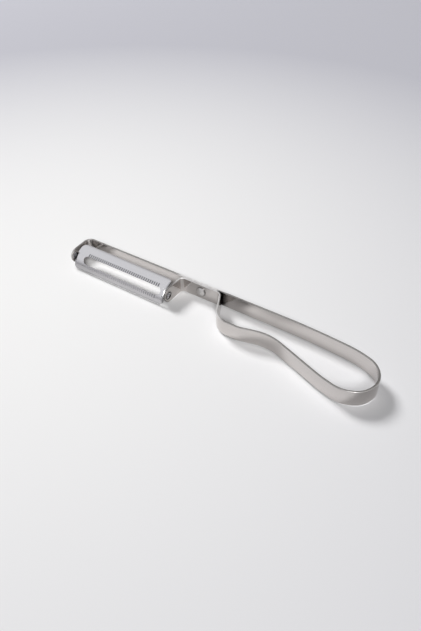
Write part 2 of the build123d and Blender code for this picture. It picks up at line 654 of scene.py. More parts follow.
class NodeGroups:
    """The effects that more than one finish uses, each built once."""

    def __init__(self) -> None:
        """Builds every group."""
        self.grain = self._brushed_grain()
        self.wear = self._edge_wear()
        self.film = self._handling_film()

    @staticmethod
    def _begin(name: str, inputs: dict[str, str], outputs: dict[str, str]) -> Tree:
        """Makes a group with its sockets.

        Args:
            name: the group's name.
            inputs: socket types by input name.
            outputs: socket types by output name.

        Returns:
            The new group, with its input and output nodes.
        """
        group = bpy.data.node_groups.new(name, "ShaderNodeTree")
        for label, kind in inputs.items():
            group.interface.new_socket(name=label, in_out="INPUT", socket_type=kind)
        for label, kind in outputs.items():
            group.interface.new_socket(name=label, in_out="OUTPUT", socket_type=kind)
        group.nodes.new("NodeGroupInput").name = "In"
        group.nodes.new("NodeGroupOutput").name = "Out"
        return group

    @staticmethod
    def _noise(group: Tree, scale: Triple, detail: float) -> bpy.types.Node:
        """A noise texture on the group's vector, stretched by a scale per axis.

        Args:
            group: the group that gets the nodes.
            scale: how many cells per metre on each axis.
            detail: the number of finer octaves.

        Returns:
            The noise node.
        """
        stretch = group.nodes.new("ShaderNodeVectorMath")
        stretch.operation = "MULTIPLY"
        stretch.inputs[1].default_value = scale
        noise = group.nodes.new("ShaderNodeTexNoise")
        noise.inputs["Scale"].default_value = 1
        noise.inputs["Detail"].default_value = detail
        group.links.new(group.nodes["In"].outputs["Vector"], stretch.inputs[0])
        group.links.new(stretch.outputs[0], noise.inputs["Vector"])
        return noise

    def _brushed_grain(self) -> Tree:
        """Makes fine scratches that run along the strip, and the soft bands between them.

        Returns:
            The group.
        """
        group = self._begin(
            "BrushedGrain",
            {"Vector": "NodeSocketVector", "Depth": "NodeSocketFloat"},
            {"Height": "NodeSocketFloat", "Tone": "NodeSocketFloat"},
        )
        fine = self._noise(group, (700, 14000, 1), 2)
        broad = self._noise(group, (60, 1400, 1), 3)
        height = math_node(group, "MULTIPLY", fine.outputs[0], group.nodes["In"].outputs["Depth"])
        tone = math_node(group, "MULTIPLY", fine.outputs[0], 0.4)
        tone = math_node(group, "ADD", tone, math_node(group, "MULTIPLY", broad.outputs[0], 0.6))
        group.links.new(height, group.nodes["Out"].inputs["Height"])
        group.links.new(tone, group.nodes["Out"].inputs["Tone"])
        return group

    def _edge_wear(self) -> Tree:
        """Makes a mask for the sheared or ground edge, broken up where handling has rubbed it; the
        edge colour it mixes in also carries painted highlights on the band and painted shade on the
        rivet.

        Returns:
            The group.
        """
        group = self._begin(
            "EdgeWear",
            {"Vector": "NodeSocketVector", "Rim": "NodeSocketFloat", "Amount": "NodeSocketFloat"},
            {"Mask": "NodeSocketFloat"},
        )
        rub = self._noise(group, (900, 2500, 1), 2)
        source = group.nodes["In"]
        broken = math_node(group, "ADD", math_node(group, "MULTIPLY", rub.outputs[0], 0.8), 0.45)
        mask = math_node(group, "MULTIPLY", source.outputs["Rim"], broken)
        mask = math_node(group, "MULTIPLY", mask, source.outputs["Amount"])
        group.links.new(math_node(group, "MINIMUM", mask, 1.0), group.nodes["Out"].inputs["Mask"])
        return group

    def _handling_film(self) -> Tree:
        """Makes soft blotches of a surface that has been washed and handled.

        Returns:
            The group.
        """
        group = self._begin(
            "HandlingFilm",
            {"Vector": "NodeSocketVector", "Amount": "NodeSocketFloat"},
            {"Mask": "NodeSocketFloat"},
        )
        broad = self._noise(group, (90, 160, 90), 4)
        centred = math_node(group, "SUBTRACT", broad.outputs[0], 0.5)
        mask = math_node(group, "MULTIPLY", centred, group.nodes["In"].outputs["Amount"])
        group.links.new(mask, group.nodes["Out"].inputs["Mask"])
        return group


@dataclass(frozen=True)
class SteelFinish:
    """A finish of bare stainless steel."""

    name: str
    colour: Triple
    edge_colour: Triple
    highlight_edge_colour: Triple
    painted_shade_colour: Triple
    roughness: float
    edge_roughness: float
    highlight_edge_roughness: float
    anisotropy: float
    grain_depth: float
    tone_swing: float
    film: float
    wear: float

    def material(self, groups: NodeGroups) -> bpy.types.Material:
        """Builds the node material.

        Args:
            groups: the shared node groups.

        Returns:
            The material.
        """
        steel = bpy.data.materials.new(self.name)
        steel.use_nodes = True
        tree = steel.node_tree
        shader = tree.nodes["Principled BSDF"]
        shader.inputs["Metallic"].default_value = 1
        shader.inputs["Anisotropic"].default_value = self.anisotropy
        shader.inputs["Anisotropic Rotation"].default_value = 0.25
        coordinates = tree.nodes.new("ShaderNodeUVMap")
        coordinates.uv_map = "grain"
        tangent = tree.nodes.new("ShaderNodeTangent")
        tangent.direction_type = "UV_MAP"
        tangent.uv_map = "grain"
        rim, rim_highlight, groove = (self._mask(tree, label) for label in ("rim", "rim_highlight", "groove"))
        grain = group_node(tree, groups.grain, depth=1.0)
        wear = group_node(tree, groups.wear, amount=self.wear)
        film = group_node(tree, groups.film, amount=self.film)
        for node in (grain, wear, film):
            tree.links.new(coordinates.outputs[0], node.inputs["Vector"])
        tree.links.new(rim, wear.inputs["Rim"])
        tone = tree.nodes.new("ShaderNodeMapRange")
        tone.inputs["To Min"].default_value = 1 - self.tone_swing
        tone.inputs["To Max"].default_value = 1 + self.tone_swing
        tree.links.new(grain.outputs["Tone"], tone.inputs["Value"])
        face = tree.nodes.new("ShaderNodeVectorMath")
        face.operation = "SCALE"
        face.inputs[0].default_value = self.colour
        tree.links.new(tone.outputs[0], face.inputs["Scale"])
        # the rim-highlight mask turns the edge colour towards the painted highlight colour
        edge = mix_node(tree, rim_highlight, self.edge_colour, self.highlight_edge_colour)
        # the rim mask mixes in the edge colour: worn edges, and on the rivet painted shade round
        # the head
        rim_mix = mix_node(tree, wear.outputs["Mask"], face.outputs[0], edge)
        # the groove mask darkens towards the painted-shade colour: painted shade in grooves, holes,
        # gaps and along edges
        with_painted_shade = mix_node(tree, groove, rim_mix, self.painted_shade_colour)
        tree.links.new(with_painted_shade, shader.inputs["Base Color"])
        edge_rough = range_node(tree, rim_highlight, self.edge_roughness, self.highlight_edge_roughness)
        rough = range_node(tree, wear.outputs["Mask"], self.roughness, edge_rough)
        spread = math_node(tree, "ADD", rough, film.outputs["Mask"])
        tree.links.new(spread, shader.inputs["Roughness"])
        bump = tree.nodes.new("ShaderNodeBump")
        bump.inputs["Distance"].default_value = self.grain_depth
        tree.links.new(grain.outputs["Height"], bump.inputs["Height"])
        tree.links.new(bump.outputs[0], shader.inputs["Normal"])
        tree.links.new(tangent.outputs[0], shader.inputs["Tangent"])
        return steel

    @staticmethod
    def _mask(tree: Tree, label: str) -> Socket:
        """Reads one of the mesh's masks.

        Args:
            tree: the material's node tree.
            label: the mask's name.

        Returns:
            The mask's socket.
        """
        reader = tree.nodes.new("ShaderNodeAttribute")
        reader.attribute_name = label
        return reader.outputs["Fac"]


BAND_STEEL = SteelFinish(
    name="SatinBandSteel",
    colour=(0.60, 0.572, 0.555),
    edge_colour=(0.32, 0.31, 0.30),
    # near-white rim colour: painted highlight on the band's rims
    highlight_edge_colour=(0.95, 0.94, 0.93),
    painted_shade_colour=(0.08, 0.075, 0.075),
    roughness=0.15,
    edge_roughness=0.45,
    highlight_edge_roughness=0.65,
    anisotropy=0.3,
    grain_depth=0.000002,
    tone_swing=0.07,
    film=0.08,
    wear=0.9,
)
BLADE_STEEL = SteelFinish(
    name="GroundBladeSteel",
    colour=(0.62, 0.61, 0.625),
    edge_colour=(0.80, 0.80, 0.81),
    highlight_edge_colour=(0.80, 0.80, 0.81),
    painted_shade_colour=(0.06, 0.06, 0.065),
    roughness=0.2,
    edge_roughness=0.5,
    highlight_edge_roughness=0.5,
    anisotropy=0.4,
    grain_depth=0.000002,
    tone_swing=0.05,
    film=0.08,
    wear=0.8,
)
RIVET_STEEL = SteelFinish(
    name="TumbledRivetSteel",
    colour=(0.54, 0.525, 0.515),
    # dark edge colour: painted shade round the rivet's head
    edge_colour=(0.12, 0.115, 0.11),
    highlight_edge_colour=(0.12, 0.115, 0.11),
    painted_shade_colour=(0.3, 0.3, 0.3),
    roughness=0.33,
    edge_roughness=0.35,
    highlight_edge_roughness=0.3,
    anisotropy=0.0,
    grain_depth=0.000002,
    tone_swing=0.04,
    film=0.12,
    wear=0.9,
)


def plan_origin() -> Vector:
    """Finds where the plan's zero lies: at the grip ear, the far face and the floor.

    Returns:
        The point in the row frame, in millimetres.
    """
    _, blade_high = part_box("blade")
    _, band_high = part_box("handle_band")
    tongue_past_ear = 0.8
    return Vector((blade_high.x / MM - tongue_past_ear, band_high.y / MM, 0))


@dataclass
class HandleBand(Blank):
    """The strip of the handle's loop and both ears, flat until it is bent round its route."""

    width: float = 8.5
    thickness: float = 1.0
    edge_round: float = 0.34
    ear_bend_radius: float = 2.2
    nose_bend_radius: float = 3.4
    lap_bend_radius: float = 3.25
    lap_clearance: float = 0.06
    handle_length: float = 111.0
    loop_depth: float = 27.0
    lap_length: float = 23.9
    head_span: float = 65.5
    ear_depth: float = 16.3
    pivot_from_tip: float = 3.1
    nose_ear_lean: float = 4.3
    back_run_end_share: float = 0.536
    hole_reach: float = 1.845
    hole_stop_tip: float = 0.625
    hole_stop_half_angle: float = 41.0
    hole_corner: float = 0.12
    hole_edge_round: float = 0.08
    rivet_share: float = 0.52
    rivet_hole_radius: float = 1.55
    highlight_run: float = 5.0
    highlight_past_kink: float = 22.0
    ear_highlight_fade: float = 0.95
    ear_highlight_fade_from: float = 6.5
    under_loop_highlight_share: float = 0.84
    hole_shade_start: float = 0.12
    hole_shade_reach: float = 0.45
    ring_points: int = 24
    gap_dark: float = 0.8
    gap_before: float = 2.0
    gap_start: float = 1.5
    gap_reach: float = 3.5
    kink_dark: float = 0.28
    kink_start: float = 12.0
    kink_reach: float = 7.0
    lap_shade: float = 0.22
    ear_end_dark: float = 0.6
    bend_shares: tuple[float, ...] = (
        0.45, 0.485, 0.485, 0.485, 0.485, 0.485, 0.45, 0.20, 0.485, 0.13, 0.485, 0.45, 0.45,
    )
    loop_corners: tuple[tuple[float, float], ...] = (
        (0.824, 0.085),
        (0.950, 0.204),
        (1.006, 0.533),
        (0.967, 0.878),
        (0.865, 1.015),
        (0.747, 0.922),
        (0.405, 0.526),
        (0.239, 0.667),
        (0.094, 0.670),
    )
    origin: Vector = field(default_factory=plan_origin)
    route: Route = field(init=False)

    def __post_init__(self) -> None:
        """Works the route out from the sizes."""
        half = self.thickness / 2
        near = self.thickness + self.lap_clearance + half
        loop_length = self.handle_length - self.lap_length
        lean = tan(radians(self.nose_ear_lean)) * (self.ear_round_depth - half)
        corners = [
            (-self.head_span + lean, -self.ear_round_depth),
            (-self.head_span, -half),
            (self.lap_length + self.back_run_end_share * loop_length, -half),
        ]
        for along, depth in self.loop_corners:
            corners.append((self.lap_length + along * loop_length, -depth * self.loop_depth))
        corners += [(self.lap_length, -near), (0, -near), (0, -self.ear_round_depth)]
        last = len(corners) - 2
        named = {1: self.nose_bend_radius, last: self.ear_bend_radius}
        named[last - 1] = self.lap_bend_radius
        radii = []
        for index, share in enumerate(self.bend_shares, start=1):
            before, here, after = (Vector(corner) for corner in corners[index - 1:index + 2])
            turn = (here - before).angle(after - here)
            widest = share * min((here - before).length, (after - here).length) / tan(turn / 2)
            radii.append(min(widest, named.get(index, widest)))
        self.route = Route(corners, radii)
        self.kink = self.route.nearest((self.lap_length / 2, -near))[-1] - self.lap_length / 2

    @property
    def ear_round_depth(self) -> float:
        """How deep the middle of an ear's round end lies."""
        return self.ear_depth - self.width / 2

    @property
    def pivot_depth(self) -> float:
        """How deep the pivot line lies."""
        return self.ear_depth - self.pivot_from_tip

    def bent(self, along: float, across: float, height: float) -> Vector:
        """Lays a point of the strip along the route."""
        place, heading = self.route.at(along)
        return self.origin + Vector((
            place.x + heading.y * height,
            place.y - heading.x * height,
            self.width / 2 + across,
        ))

    def rim_highlight(self, along: float, across: float) -> float:
        """Paints highlights onto the rims at the lap, the kink, the grip ear and under the loop's
        end.

        Args:
            along: the distance along the blank.
            across: the distance across it.

        Returns:
            How bright, from zero to one.
        """
        # painted highlight on the rims from before the kink to the grip ear, fading out at the
        # ear's end
        near_layer = smooth((along - self.kink + self.highlight_past_kink) / self.highlight_run)
        past_bend = along - self.route.length + self.ear_highlight_fade_from
        near_layer *= 1 - self.ear_highlight_fade * smooth(past_bend / self.highlight_run)
        place, _ = self.route.at(along)
        beside = smooth((self.lap_length + self.highlight_run - place.x) / self.highlight_run)
        beside *= smooth((place.x + self.highlight_run) / self.highlight_run)
        # painted highlight along the lower rim under the loop's end
        past_loop = place.x - self.under_loop_highlight_share * self.handle_length
        under_loop = smooth(past_loop / self.highlight_run)
        return max(
            near_layer,
            beside if place.y > -self.thickness else 0.0,
            under_loop if across < 0 else 0.0,
        )

    def shade(self, along: float, across: float, height: float) -> float:
        """Paints shade round the ears' holes, in the gap behind the kink with a painted reflection
        of the kink beside it, on the lap's face and on the grip ear's round rim.

        Args:
            along: the distance along the blank.
            across: the distance across it.
            height: the distance out from the middle of the sheet.

        Returns:
            How dark, from zero to one.
        """
        dark = 0.0
        # painted shade: dark rings round the ears' holes
        for middle in self._pivots():
            away = sqrt((along - middle) ** 2 + across ** 2)
            past_hole = away - self.hole_reach - self.hole_shade_start
            dark = max(dark, 1 - smooth(past_hole / self.hole_shade_reach))
        place, _ = self.route.at(along)
        past = place.x - self.lap_length
        # painted shade in the gap behind the kink, a painted dark reflection of the kink on the
        # back run, and painted shade on the faces that look into the gap
        if height > 0 and past > -self.gap_before:
            if place.y > -self.thickness:
                fades = (
                    (self.gap_dark, self.gap_start, self.gap_reach),
                    (self.kink_dark, self.kink_start, self.kink_reach),
                )
                for darkest, start, reach in fades:
                    dark = max(dark, darkest * (1 - smooth((past - start) / reach)))
            from_kink = along - self.kink + self.gap_reach
            dark = max(dark, self.gap_dark * smooth(from_kink / self.gap_reach))
        # painted shade on the lap's visible face, for the shaded floor that it mirrors
        if height <= 0 and self.kink < along < self.route.length - self.ear_round_depth:
            dark = max(dark, self.lap_shade)
        # painted shade on the rim of the grip ear's round end, dimming its highlight
        past_ear = along - self.route.length
        if past_ear > 0:
            rim_from = self.width / 2 - 1.1 * self.edge_round
            at_rim = smooth((sqrt(past_ear ** 2 + across ** 2) - rim_from) / self.edge_round)
            dark = max(dark, self.ear_end_dark * at_rim * smooth(past_ear / self.ear_bend_radius))
        return dark

    def _pivots(self) -> list[float]:
        """Where along the strip the pivot line passes through the two ears."""
        past_round = self.pivot_depth - self.ear_round_depth
        return [-past_round, self.route.length + past_round]

    def _ear_hole(self, middle: float) -> list[RimPoint]:
        """The outline of an ear's hole, a disc less two pointed stops.

        Args:
            middle: where along the strip the pivot line passes.

        Returns:
            The outline's points.
        """
        half_angle = radians(self.hole_stop_half_angle)
        slant = self.hole_stop_tip * cos(half_angle)
        run = sqrt(self.hole_reach ** 2 - (self.hole_stop_tip * sin(half_angle)) ** 2) - slant
        meet = atan2(run * sin(half_angle), self.hole_stop_tip + run * cos(half_angle))
        corners = []
        steps = 8
        for side in (-1, 1):
            corners.append((middle + side * self.hole_stop_tip, 0, self.hole_corner))
            for step in range(steps + 1):
                angle = meet + (pi - 2 * meet) * step / steps
                radius = self.hole_corner if step in (0, steps) else self.hole_reach
                across = -side * sin(angle) * self.hole_reach
                corners.append((middle + side * cos(angle) * self.hole_reach, across, radius))
        return rounded_outline(corners)

    def _round_hole(self, middle: float) -> list[RimPoint]:
        """The outline of a rivet hole, clockwise.

        Args:
            middle: where along the strip the hole lies.

        Returns:
            The outline's points.
        """
        reach = self.rivet_hole_radius
        corners = [
            (middle - reach, -reach, reach),
            (middle - reach, reach, reach),
            (middle + reach, reach, reach),
            (middle + reach, -reach, reach),
        ]
        return rounded_outline(corners)

    def make(self, groups: NodeGroups) -> bpy.types.Object:
        """Builds and dresses the band.

        Args:
            groups: the shared node groups.

        Returns:
            The finished piece.
        """
        half = self.width / 2
        end = self.route.length
        stations = self.route.stations(radians(3), 2.0)
        spots = [(-half, -half), (end + half, -half), (end + half, half), (-half, half)]
        corners = [(*spot, half) for spot in spots]
        outline = rounded_outline(corners, (stations, []), radians(6))
        rim = plain_edge(self.thickness, self.edge_round)
        hole_rim = plain_edge(self.thickness, self.hole_edge_round, 2)
        rivet_x = self.rivet_share * self.lap_length
        near = self.thickness * 1.5 + self.lap_clearance
        rivets = self.route.nearest((rivet_x, -near))
        pivots = self._pivots()
        loops = [(outline, rim)]
        loops += [(self._ear_hole(middle), hole_rim) for middle in pivots]
        loops += [(self._round_hole(middle), hole_rim) for middle in rivets]
        clear = [(middle, self.rivet_hole_radius + 0.5) for middle in pivots + rivets]
        lines = []
        inset = Vector((0, rim[0].inset))
        for station in stations:
            if all(abs(station - middle) > reach for middle, reach in clear) and 0 < station < end:
                lines.append((Vector((station, -half)) + inset, Vector((station, half)) - inset))
        rings = []
        for middle in pivots:
            for gone in (self.hole_shade_start, self.hole_shade_start + self.hole_shade_reach):
                for step in range(self.ring_points):
                    angle = 2 * pi * step / self.ring_points
                    away = self.hole_reach + gone
                    rings.append(Vector((middle + away * cos(angle), away * sin(angle))))
        piece = self.build("HandleBand", loops, rings, lines)
        piece.data.materials.append(BAND_STEEL.material(groups))
        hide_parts("handle_band")
        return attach(piece, "band")


@dataclass
class PeelingBlade(Blank):
    """The arched blade with its slot, lips, grooves and folded tongues."""

    width: float = 13.7
    rise: float = 2.4
    thickness: float = 0.7
    corner_radius: float = 2.9
    rest_angle: float = 49.0
    crown_above_pivot: float = 1.1
    crown_from_pivot: float = 2.1
    start: float = -61.744
    end: float = -0.9
    pivot_depth: float = 13.2
    pivot_height: float = 4.25
    edge_round: float = 0.1
    slot_width: float = 4.4
    slot_nose_margin: float = 5.5
    slot_grip_margin: float = 2.7
    lip_edge: float = 0.12
    lip_bevel: float = 0.8
    lip_round: float = 0.025
    groove_pitch: float = 1.36
    groove_radius: float = 0.62
    groove_depth: float = 0.12
    groove_length: float = 1.9
    groove_fade: float = 0.35
    groove_quiet: float = 22.0
    groove_contrast: float = 4.0
    low_lip_least: float = 0.1
    low_lip_more: float = 0.6
    low_groove_least: float = 0.3
    tongue_dark: float = 0.9
    low_band_shade: float = 0.14
    fold_dark: float = 0.55
    low_edge_dark: float = 0.55
    low_edge_reach: float = 0.3
    nose_band_shade: float = 0.16
    tongue_width: float = 3.5
    tongue_bend: float = 0.7
    nose_tip: float = -65.346
    grip_tip: float = 0.8
    notch_width: float = 0.4
    notch_depth: float = 1.35
    origin: Vector = field(default_factory=plan_origin)

    def __post_init__(self) -> None:
        """Works out the arch, the fold paths and the grooves' places."""
        self.radius = ((self.width / 2) ** 2 + self.rise ** 2) / (2 * self.rise)
        self.centre_out = self.crown_from_pivot - self.radius
        self.half_angle = asin(self.width / 2 / self.radius)
        self.tongue_angle = -asin(self.crown_above_pivot / self.radius)
        self.low_edge = self.radius * (-self.half_angle - self.tongue_angle)
        self.high_edge = self.radius * (self.half_angle - self.tongue_angle)
        self.slot_angle = -atan2(self.crown_above_pivot, -self.centre_out)
        self.slot_across = self.radius * (self.slot_angle - self.tongue_angle)
        outer = self.radius + self.thickness / 2
        self.slot_half = self.radius * asin(self.slot_width / 2 / outer)
        self.fold_start = self.thickness / 2 + self.tongue_bend
        sheet_out = self.centre_out + self.radius * cos(self.tongue_angle)
        self.folds = {}
        bend = self.tongue_bend
        for side, edge, tip in ((-1, self.start, self.nose_tip), (1, self.end, self.grip_tip)):
            reach = side * (tip - edge) + self.fold_start
            corners = [(0, sheet_out), (bend, sheet_out), (bend, 0), (reach, 0)]
            self.folds[side] = Route(corners, [bend * 0.999, bend])
        row = self.end - self.start - self.slot_nose_margin
        row = row - self.slot_grip_margin - self.slot_width
        row_start = self.start + self.slot_nose_margin + self.slot_width / 2
        count = int(row / self.groove_pitch) + 1
        first = row_start + (row - (count - 1) * self.groove_pitch) / 2
        self.grooves = [first + place * self.groove_pitch for place in range(count)]
        self.turn = Matrix.Rotation(-radians(self.rest_angle), 3, "X")
        self.pivot = self.origin + Vector((0, -self.pivot_depth, self.pivot_height))

    def lip_share(self) -> float:
        """The grooves run out at the lips' sharp edge."""
        return self.lip_edge

    def sunk(self, along: float, across: float) -> float:
        """Finds the depth of the nearest groove at a point of the outer face.

        Args:
            along: the distance along the blank.
            across: the distance across it.

        Returns:
            The depth, in millimetres.
        """
        from_lip = abs(across - self.slot_across) - self.slot_half
        if not -0.3 < from_lip < self.groove_length + 0.2:
            return 0.0
        place = round((along - self.grooves[0]) / self.groove_pitch)
        place = min(len(self.grooves) - 1, max(0, place))
        beside = abs(along - self.grooves[place])
        if beside >= self.groove_radius:
            return 0.0
        floor = sqrt(self.groove_radius ** 2 - beside ** 2) - self.groove_radius + self.groove_depth
        fade = 1 - smooth((from_lip - self.groove_length + self.groove_fade) / self.groove_fade)
        if across < self.slot_across:
            nearer = smooth((along + self.groove_quiet) / self.groove_quiet)
            fade *= self.low_groove_least + (1 - self.low_groove_least) * nearer
        return max(0.0, floor) * fade

    def shade(self, along: float, across: float, height: float) -> float:
        """Paints shade into the grooves, less on the lower lip, and onto the tongues, the grip
        end's rim and fold, the lower rim and the band below the slot.

        Args:
            along: the distance along the blank.
            across: the distance across it.
            height: the distance out from the middle of the sheet.

        Returns:
            How dark, from zero to one.
        """
        # painted shadow along the lower rim
        if across < self.low_edge + self.low_edge_reach:
            return self.low_edge_dark
        # painted shade on the nose tongue inside its hole
        if along < self.start - self.thickness:
            return self.tongue_dark
        # painted shade on the grip end's rim and its fold, dimming their highlights
        if along > self.end - 2 * self.edge_round:
            return self.fold_dark
        in_fold = along - self.end + self.fold_start
        if in_fold > 0 and abs(across) < self.tongue_width / 2 + self.notch_width / 2:
            return self.fold_dark * smooth(in_fold / self.fold_start)
        if height <= self.thickness / 2 - self.lip_edge:
            return 0.0
        # painted shade in the grooves, fainter on the lower lip towards the nose
        share = min(1.0, self.groove_contrast * self.sunk(along, across) / self.groove_depth)
        if across < self.slot_across:
            nearer = smooth((along + self.groove_quiet) / self.groove_quiet)
            share *= self.low_lip_least + self.low_lip_more * nearer
            # painted shade on the band below the slot, darker towards the nose
            from_nose = (along - self.start) / (self.end - self.start)
            band_shade = self.low_band_shade + self.nose_band_shade * (1 - smooth(2 * from_nose))
            share = max(share, band_shade * smooth(self.slot_across - self.slot_half - across))
        return share

    def bent(self, along: float, across: float, height: float) -> Vector:
        """Arches the sheet, folds its tongues and turns it to its resting angle.

        Args:
            along: the distance along the blank.
            across: the distance across it.
            height: the distance out from the middle of the sheet.

        Returns:
            The point in the row frame.
        """
        angle = self.tongue_angle + across / self.radius
        folded = 0.0
        side = 0
        if abs(across) < self.tongue_width / 2 + self.notch_width / 2:
            for end_side, edge in ((-1, self.start), (1, self.end)):
                past = end_side * (along - edge) + self.fold_start
                if past > 0:
                    folded, side = past, end_side
        if not side:
            out = self.centre_out + (self.radius + height) * cos(angle)
            up = self.crown_above_pivot + (self.radius + height) * sin(angle)
            local = Vector((along, -out, up))
        else:
            flatten = smooth(folded / (self.tongue_bend * pi / 2))
            spot, heading = self.folds[side].at(folded)
            normal = Vector((-heading.y, heading.x))
            rise = self.radius * (cos(angle) - cos(self.tongue_angle)) * (1 - flatten)
            arched = self.radius * (sin(angle) - sin(self.tongue_angle))
            beside = arched * (1 - flatten) + across * flatten
            lean = angle * (1 - flatten)
            spot = spot + normal * (rise + height * cos(lean))
            edge = self.start if side < 0 else self.end
            local = Vector((
                edge - side * self.fold_start + side * spot.x,
                -spot.y,
                beside + height * sin(lean),
            ))
        return self.pivot + self.turn @ local

    def _outline(self, cuts: list[float]) -> list[RimPoint]:
        """The outline of the blank, with both tongues out flat.

        Args:
            cuts: places along the tongues at which their sides get points.

        Returns:
            The outline's points.
        """
        low, high = self.low_edge, self.high_edge
        half, gap = self.tongue_width / 2, self.tongue_width / 2 + self.notch_width
        tips = {side: self.folds[side].length - self.fold_start for side in (-1, 1)}
        small, notch, tip_round = 0.18, self.notch_width * 0.49, 0.35
        right = [
            (self.end, -gap, small),
            (self.end - self.notch_depth, -gap, notch),
            (self.end - self.notch_depth, -half, notch),
            (self.end + tips[1], -half, tip_round),
        ]
        left = [
            (self.start, -gap, small),
            (self.start + self.notch_depth, -gap, notch),
            (self.start + self.notch_depth, -half, notch),
            (self.start - tips[-1], -half, tip_round),
        ]
        corners = [(self.start, low, self.corner_radius), (self.end, low, self.corner_radius)]
        corners += right + [(along, -across, bend) for along, across, bend in right[::-1]]
        corners += [(self.end, high, self.corner_radius), (self.start, high, self.corner_radius)]
        corners += [(along, -across, bend) for along, across, bend in left] + left[::-1]
        across_cuts = [low + (high - low) * step / 18 for step in range(19)]
        sheet_cuts = [self.start + (self.end - self.start) * step / 40 for step in range(41)]
        return rounded_outline(corners, (cuts + sheet_cuts, across_cuts))

    def _slot(self) -> list[RimPoint]:
        """The slot's outline, clockwise, with a point on each groove's sides and bottom.

        Returns:
            The outline's points.
        """
        start = self.start + self.slot_nose_margin
        end = self.end - self.slot_grip_margin
        low, high = self.slot_across - self.slot_half, self.slot_across + self.slot_half
        spots = [(start, low), (start, high), (end, high), (end, low)]
        corners = [(*spot, self.slot_half) for spot in spots]
        cuts = [groove + shift for groove in self.grooves for shift in self._groove_shifts()]
        return rounded_outline(corners, (cuts, []), radians(9))

    def _groove_shifts(self) -> list[float]:
        """Where across a groove the mesh has its lines."""
        edge = sqrt(self.groove_radius ** 2 - (self.groove_radius - self.groove_depth) ** 2)
        return [-edge, -0.6 * edge, -0.25 * edge, 0, 0.25 * edge, 0.6 * edge, edge]

    def make(self, groups: NodeGroups) -> bpy.types.Object:
        """Builds and dresses the blade.

        Args:
            groups: the shared node groups.

        Returns:
            The finished piece.
        """
        tongue_stations: list[float] = []
        for side, edge in ((-1, self.start), (1, self.end)):
            inner = edge - side * self.fold_start
            stations = self.folds[side].stations(radians(9), 0.5)
            tongue_stations += [inner + side * gone for gone in stations]
        outline = self._outline(tongue_stations)
        slot = self._slot()
        half = self.thickness / 2
        lip = edge_rings(
            [(4, half), (0, half), (0, half - self.lip_edge), (self.lip_bevel, -half), (4, -half)],
            self.lip_round,
            2,
        )
        points: list[Vector] = []
        across_rows = [-1.4, -0.95, -0.5, 0.0, 0.5, 0.95, 1.4]
        points += [Vector((along, across)) for along in tongue_stations for across in across_rows]
        reach = self.groove_length + 0.25
        for step in range(61):
            along = self.start + (self.end - self.start) * step / 60
            past_grooves = along < self.grooves[0] - 0.6 or along > self.grooves[-1] + 0.6
            for row in range(25):
                across = -7.5 + row * 0.7
                beside = abs(across - self.slot_across) - self.slot_half
                clear = abs(across) > self.tongue_width / 2 + self.notch_width
                middle = self.start + self.notch_depth < along < self.end - self.notch_depth
                if (clear or middle) and (beside > reach or past_grooves):
                    points.append(Vector((along, across)))
        rows = [share * self.groove_length for share in (0.45, 0.6, 0.75, 0.88, 1)] + [reach]
        for sign in (-1, 1):
            for groove in self.grooves:
                for shift in self._groove_shifts() + [self.groove_pitch / 2]:
                    for row in rows:
                        across = self.slot_across + sign * (self.slot_half + row)
                        points.append(Vector((groove + shift, across)))
        piece = self.build(
            "PeelingBlade",
            [(outline, plain_edge(self.thickness, self.edge_round, 2)), (slot, lip)],
            points,
            [],
        )
        piece.data.materials.append(BLADE_STEEL.material(groups))
        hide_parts("blade")
        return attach(piece, "blade")


